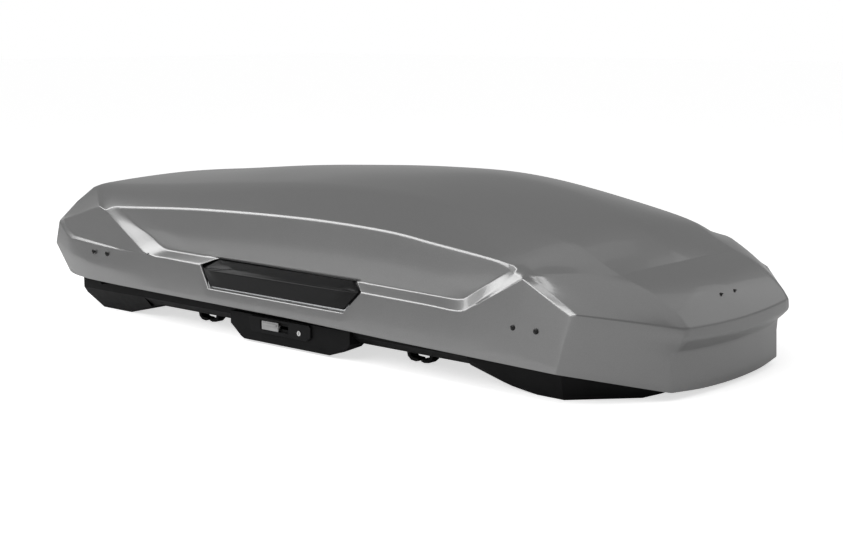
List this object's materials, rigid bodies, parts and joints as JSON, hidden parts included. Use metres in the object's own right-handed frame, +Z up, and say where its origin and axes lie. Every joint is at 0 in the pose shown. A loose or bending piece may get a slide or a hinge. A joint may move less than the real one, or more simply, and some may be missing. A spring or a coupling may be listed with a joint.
{
  "type": "roof cargo box",
  "caption": "Long hard-shell roof box for a car, with a titan grey lid that opens from either side, a black base, slide locks and crossbar clamps.",
  "frame": {"origin": "on the ground under the middle of the box", "axes": "+X towards the nose, +Y towards the far side, +Z up"},
  "size_m": [2.15, 0.93, 0.458],
  "materials": {
    "lid_titan": "semi-gloss metallic titan cap layer",
    "inlay_black": "glossy black moulding",
    "base_black": "fine textured black sheet",
    "trim_black": "textured moulding",
    "rivet_black": "smooth black cap",
    "slider_grey": "satin grey moulding",
    "key_metal": "satin metal",
    "knob_red": "textured red moulding",
    "webbing": "woven polyester webbing",
    "rail_aluminium": "mill finish",
    "arm_black": "powder coat",
    "steel": "zinc plated"
  },
  "bodies": {
    "base": {"base_tray": "base_black", "clamp_track_near": "steel", "clamp_track_far": "steel", "side_rail_near": "steel", "side_rail_far": "steel", "latch_seats_near": "base_black", "latch_seats_far": "base_black", "lock_housing_near": "trim_black", "lock_housing_far": "trim_black", "lifter_foot_front": "steel", "lifter_foot_rear": "steel", "clamp_axles": "steel", "load_straps": "webbing", "strap_buckles": "trim_black", "clamp_housing_rear_near": "trim_black", "clamp_housing_rear_far": "trim_black", "clamp_housing_front_near": "trim_black", "clamp_housing_front_far": "trim_black"},
    "near_hinge": {"hinge_pins_near": "steel"},
    "lid": {"lid_shell": "lid_titan", "lid_inlay_near": "inlay_black", "lid_inlay_far": "inlay_black", "lid_rail_near": "rail_aluminium", "lid_rail_far": "rail_aluminium", "latch_brackets_near": "steel", "latch_brackets_far": "steel", "hinge_pins_far": "steel", "lid_rivets_near": "rivet_black", "lid_rivets_far": "rivet_black", "lid_rivets_nose": "rivet_black", "lifter_slot_bracket_front": "steel", "lifter_slot_bracket_rear": "steel"},
    "front_pivot": {"lifter_pivot_front": "steel"},
    "front_lower_arm": {"lifter_lower_arm_front": "arm_black"},
    "front_elbow": {"lifter_elbow_front": "steel"},
    "front_upper_arm": {"lifter_upper_arm_front": "arm_black"},
    "rear_pivot": {"lifter_pivot_rear": "steel"},
    "rear_lower_arm": {"lifter_lower_arm_rear": "arm_black"},
    "rear_elbow": {"lifter_elbow_rear": "steel"},
    "rear_upper_arm": {"lifter_upper_arm_rear": "arm_black"},
    "lock_slide_near": {"lock_slider_near": "slider_grey", "lock_rod_near": "steel"},
    "lock_key_near": {"key_cylinder_near": "key_metal"},
    "lock_slide_far": {"lock_slider_far": "slider_grey", "lock_rod_far": "steel"},
    "lock_key_far": {"key_cylinder_far": "key_metal"},
    "knob_rear_near": {"clamp_knob_rear_near": "knob_red"},
    "claw_aft_rear_near": {"claw_aft_rear_near": "trim_black"},
    "claw_fore_rear_near": {"claw_fore_rear_near": "trim_black"},
    "knob_rear_far": {"clamp_knob_rear_far": "knob_red"},
    "claw_aft_rear_far": {"claw_aft_rear_far": "trim_black"},
    "claw_fore_rear_far": {"claw_fore_rear_far": "trim_black"},
    "knob_front_near": {"clamp_knob_front_near": "knob_red"},
    "claw_aft_front_near": {"claw_aft_front_near": "trim_black"},
    "claw_fore_front_near": {"claw_fore_front_near": "trim_black"},
    "knob_front_far": {"clamp_knob_front_far": "knob_red"},
    "claw_aft_front_far": {"claw_aft_front_far": "trim_black"},
    "claw_fore_front_far": {"claw_fore_front_far": "trim_black"}
  },
  "joints": [
    {"name": "lid_open_near", "type": "hinge", "parent": "base", "child": "near_hinge", "pos_m": [0, 0.44, 0.105], "axis": [-1, 0, 0], "range_deg": [0, 40]},
    {"name": "lid_open_far", "type": "hinge", "parent": "near_hinge", "child": "lid", "pos_m": [0, -0.44, 0.105], "axis": [-1, 0, 0], "range_deg": [-40, 0]},
    {"name": "front_pivot_near", "type": "hinge", "parent": "base", "child": "front_pivot", "pos_m": [0.975, 0, 0.062], "axis": [1, 0, 0], "range_deg": [0, 41]},
    {"name": "front_pivot_far", "type": "hinge", "parent": "front_pivot", "child": "front_lower_arm", "pos_m": [0.975, 0, 0.062], "axis": [1, 0, 0], "range_deg": [0, 81.2]},
    {"name": "front_elbow_near", "type": "hinge", "parent": "front_lower_arm", "child": "front_elbow", "pos_m": [0.975, 0.1951, 0.106], "axis": [1, 0, 0], "range_deg": [-122, 0]},
    {"name": "front_elbow_far", "type": "hinge", "parent": "front_elbow", "child": "front_upper_arm", "pos_m": [0.975, 0.1951, 0.106], "axis": [1, 0, 0], "range_deg": [-122, 0]},
    {"name": "rear_pivot_near", "type": "hinge", "parent": "base", "child": "rear_pivot", "pos_m": [-0.895, 0, 0.062], "axis": [1, 0, 0], "range_deg": [0, 41]},
    {"name": "rear_pivot_far", "type": "hinge", "parent": "rear_pivot", "child": "rear_lower_arm", "pos_m": [-0.895, 0, 0.062], "axis": [1, 0, 0], "range_deg": [0, 81.2]},
    {"name": "rear_elbow_near", "type": "hinge", "parent": "rear_lower_arm", "child": "rear_elbow", "pos_m": [-0.895, 0.1951, 0.106], "axis": [1, 0, 0], "range_deg": [-122, 0]},
    {"name": "rear_elbow_far", "type": "hinge", "parent": "rear_elbow", "child": "rear_upper_arm", "pos_m": [-0.895, 0.1951, 0.106], "axis": [1, 0, 0], "range_deg": [-122, 0]},
    {"name": "lock_slide_near", "type": "slide", "parent": "base", "child": "lock_slide_near", "axis": [1, 0, 0], "range_m": [0, 0.018]},
    {"name": "lock_key_near", "type": "hinge", "parent": "base", "child": "lock_key_near", "pos_m": [0.028, -0.437, 0.051], "axis": [0, 1, 0], "range_deg": [0, 90]},
    {"name": "lock_slide_far", "type": "slide", "parent": "base", "child": "lock_slide_far", "axis": [1, 0, 0], "range_m": [0, 0.018]},
    {"name": "lock_key_far", "type": "hinge", "parent": "base", "child": "lock_key_far", "pos_m": [0.028, 0.437, 0.051], "axis": [0, 1, 0], "range_deg": [0, 90]},
    {"name": "knob_rear_near", "type": "hinge", "parent": "base", "child": "knob_rear_near", "pos_m": [-0.445, -0.33, 0.088], "axis": [0, 0, 1], "range_deg": [0, 840]},
    {"name": "claw_aft_rear_near", "type": "hinge", "parent": "base", "child": "claw_aft_rear_near", "pos_m": [-0.487, -0.33, 0.068], "axis": [0, 1, 0], "range_deg": [0, 14]},
    {"name": "claw_fore_rear_near", "type": "hinge", "parent": "base", "child": "claw_fore_rear_near", "pos_m": [-0.403, -0.33, 0.068], "axis": [0, -1, 0], "range_deg": [0, 14]},
    {"name": "knob_rear_far", "type": "hinge", "parent": "base", "child": "knob_rear_far", "pos_m": [-0.445, 0.33, 0.088], "axis": [0, 0, 1], "range_deg": [0, 840]},
    {"name": "claw_aft_rear_far", "type": "hinge", "parent": "base", "child": "claw_aft_rear_far", "pos_m": [-0.487, 0.33, 0.068], "axis": [0, 1, 0], "range_deg": [0, 14]},
    {"name": "claw_fore_rear_far", "type": "hinge", "parent": "base", "child": "claw_fore_rear_far", "pos_m": [-0.403, 0.33, 0.068], "axis": [0, -1, 0], "range_deg": [0, 14]},
    {"name": "knob_front_near", "type": "hinge", "parent": "base", "child": "knob_front_near", "pos_m": [0.357, -0.33, 0.088], "axis": [0, 0, 1], "range_deg": [0, 840]},
    {"name": "claw_aft_front_near", "type": "hinge", "parent": "base", "child": "claw_aft_front_near", "pos_m": [0.315, -0.33, 0.068], "axis": [0, 1, 0], "range_deg": [0, 14]},
    {"name": "claw_fore_front_near", "type": "hinge", "parent": "base", "child": "claw_fore_front_near", "pos_m": [0.399, -0.33, 0.068], "axis": [0, -1, 0], "range_deg": [0, 14]},
    {"name": "knob_front_far", "type": "hinge", "parent": "base", "child": "knob_front_far", "pos_m": [0.357, 0.33, 0.088], "axis": [0, 0, 1], "range_deg": [0, 840]},
    {"name": "claw_aft_front_far", "type": "hinge", "parent": "base", "child": "claw_aft_front_far", "pos_m": [0.315, 0.33, 0.068], "axis": [0, 1, 0], "range_deg": [0, 14]},
    {"name": "claw_fore_front_far", "type": "hinge", "parent": "base", "child": "claw_fore_front_far", "pos_m": [0.399, 0.33, 0.068], "axis": [0, -1, 0], "range_deg": [0, 14]}
  ],
  "couplings": [
    {"joint": "front_pivot_near", "follows": "lid_open_near", "ratio": 1.019},
    {"joint": "front_elbow_near", "follows": "lid_open_near", "ratio": -3.0432},
    {"joint": "front_pivot_far", "follows": "lid_open_far", "ratio": -2.0241},
    {"joint": "front_elbow_far", "follows": "lid_open_far", "ratio": 3.0432},
    {"joint": "rear_pivot_near", "follows": "lid_open_near", "ratio": 1.019},
    {"joint": "rear_elbow_near", "follows": "lid_open_near", "ratio": -3.0432},
    {"joint": "rear_pivot_far", "follows": "lid_open_far", "ratio": -2.0241},
    {"joint": "rear_elbow_far", "follows": "lid_open_far", "ratio": 3.0432},
    {"joint": "claw_aft_rear_near", "follows": "knob_rear_near", "ratio": 0.016667},
    {"joint": "claw_fore_rear_near", "follows": "knob_rear_near", "ratio": 0.016667},
    {"joint": "claw_aft_rear_far", "follows": "knob_rear_far", "ratio": 0.016667},
    {"joint": "claw_fore_rear_far", "follows": "knob_rear_far", "ratio": 0.016667},
    {"joint": "claw_aft_front_near", "follows": "knob_front_near", "ratio": 0.016667},
    {"joint": "claw_fore_front_near", "follows": "knob_front_near", "ratio": 0.016667},
    {"joint": "claw_aft_front_far", "follows": "knob_front_far", "ratio": 0.016667},
    {"joint": "claw_fore_front_far", "follows": "knob_front_far", "ratio": 0.016667}
  ]
}
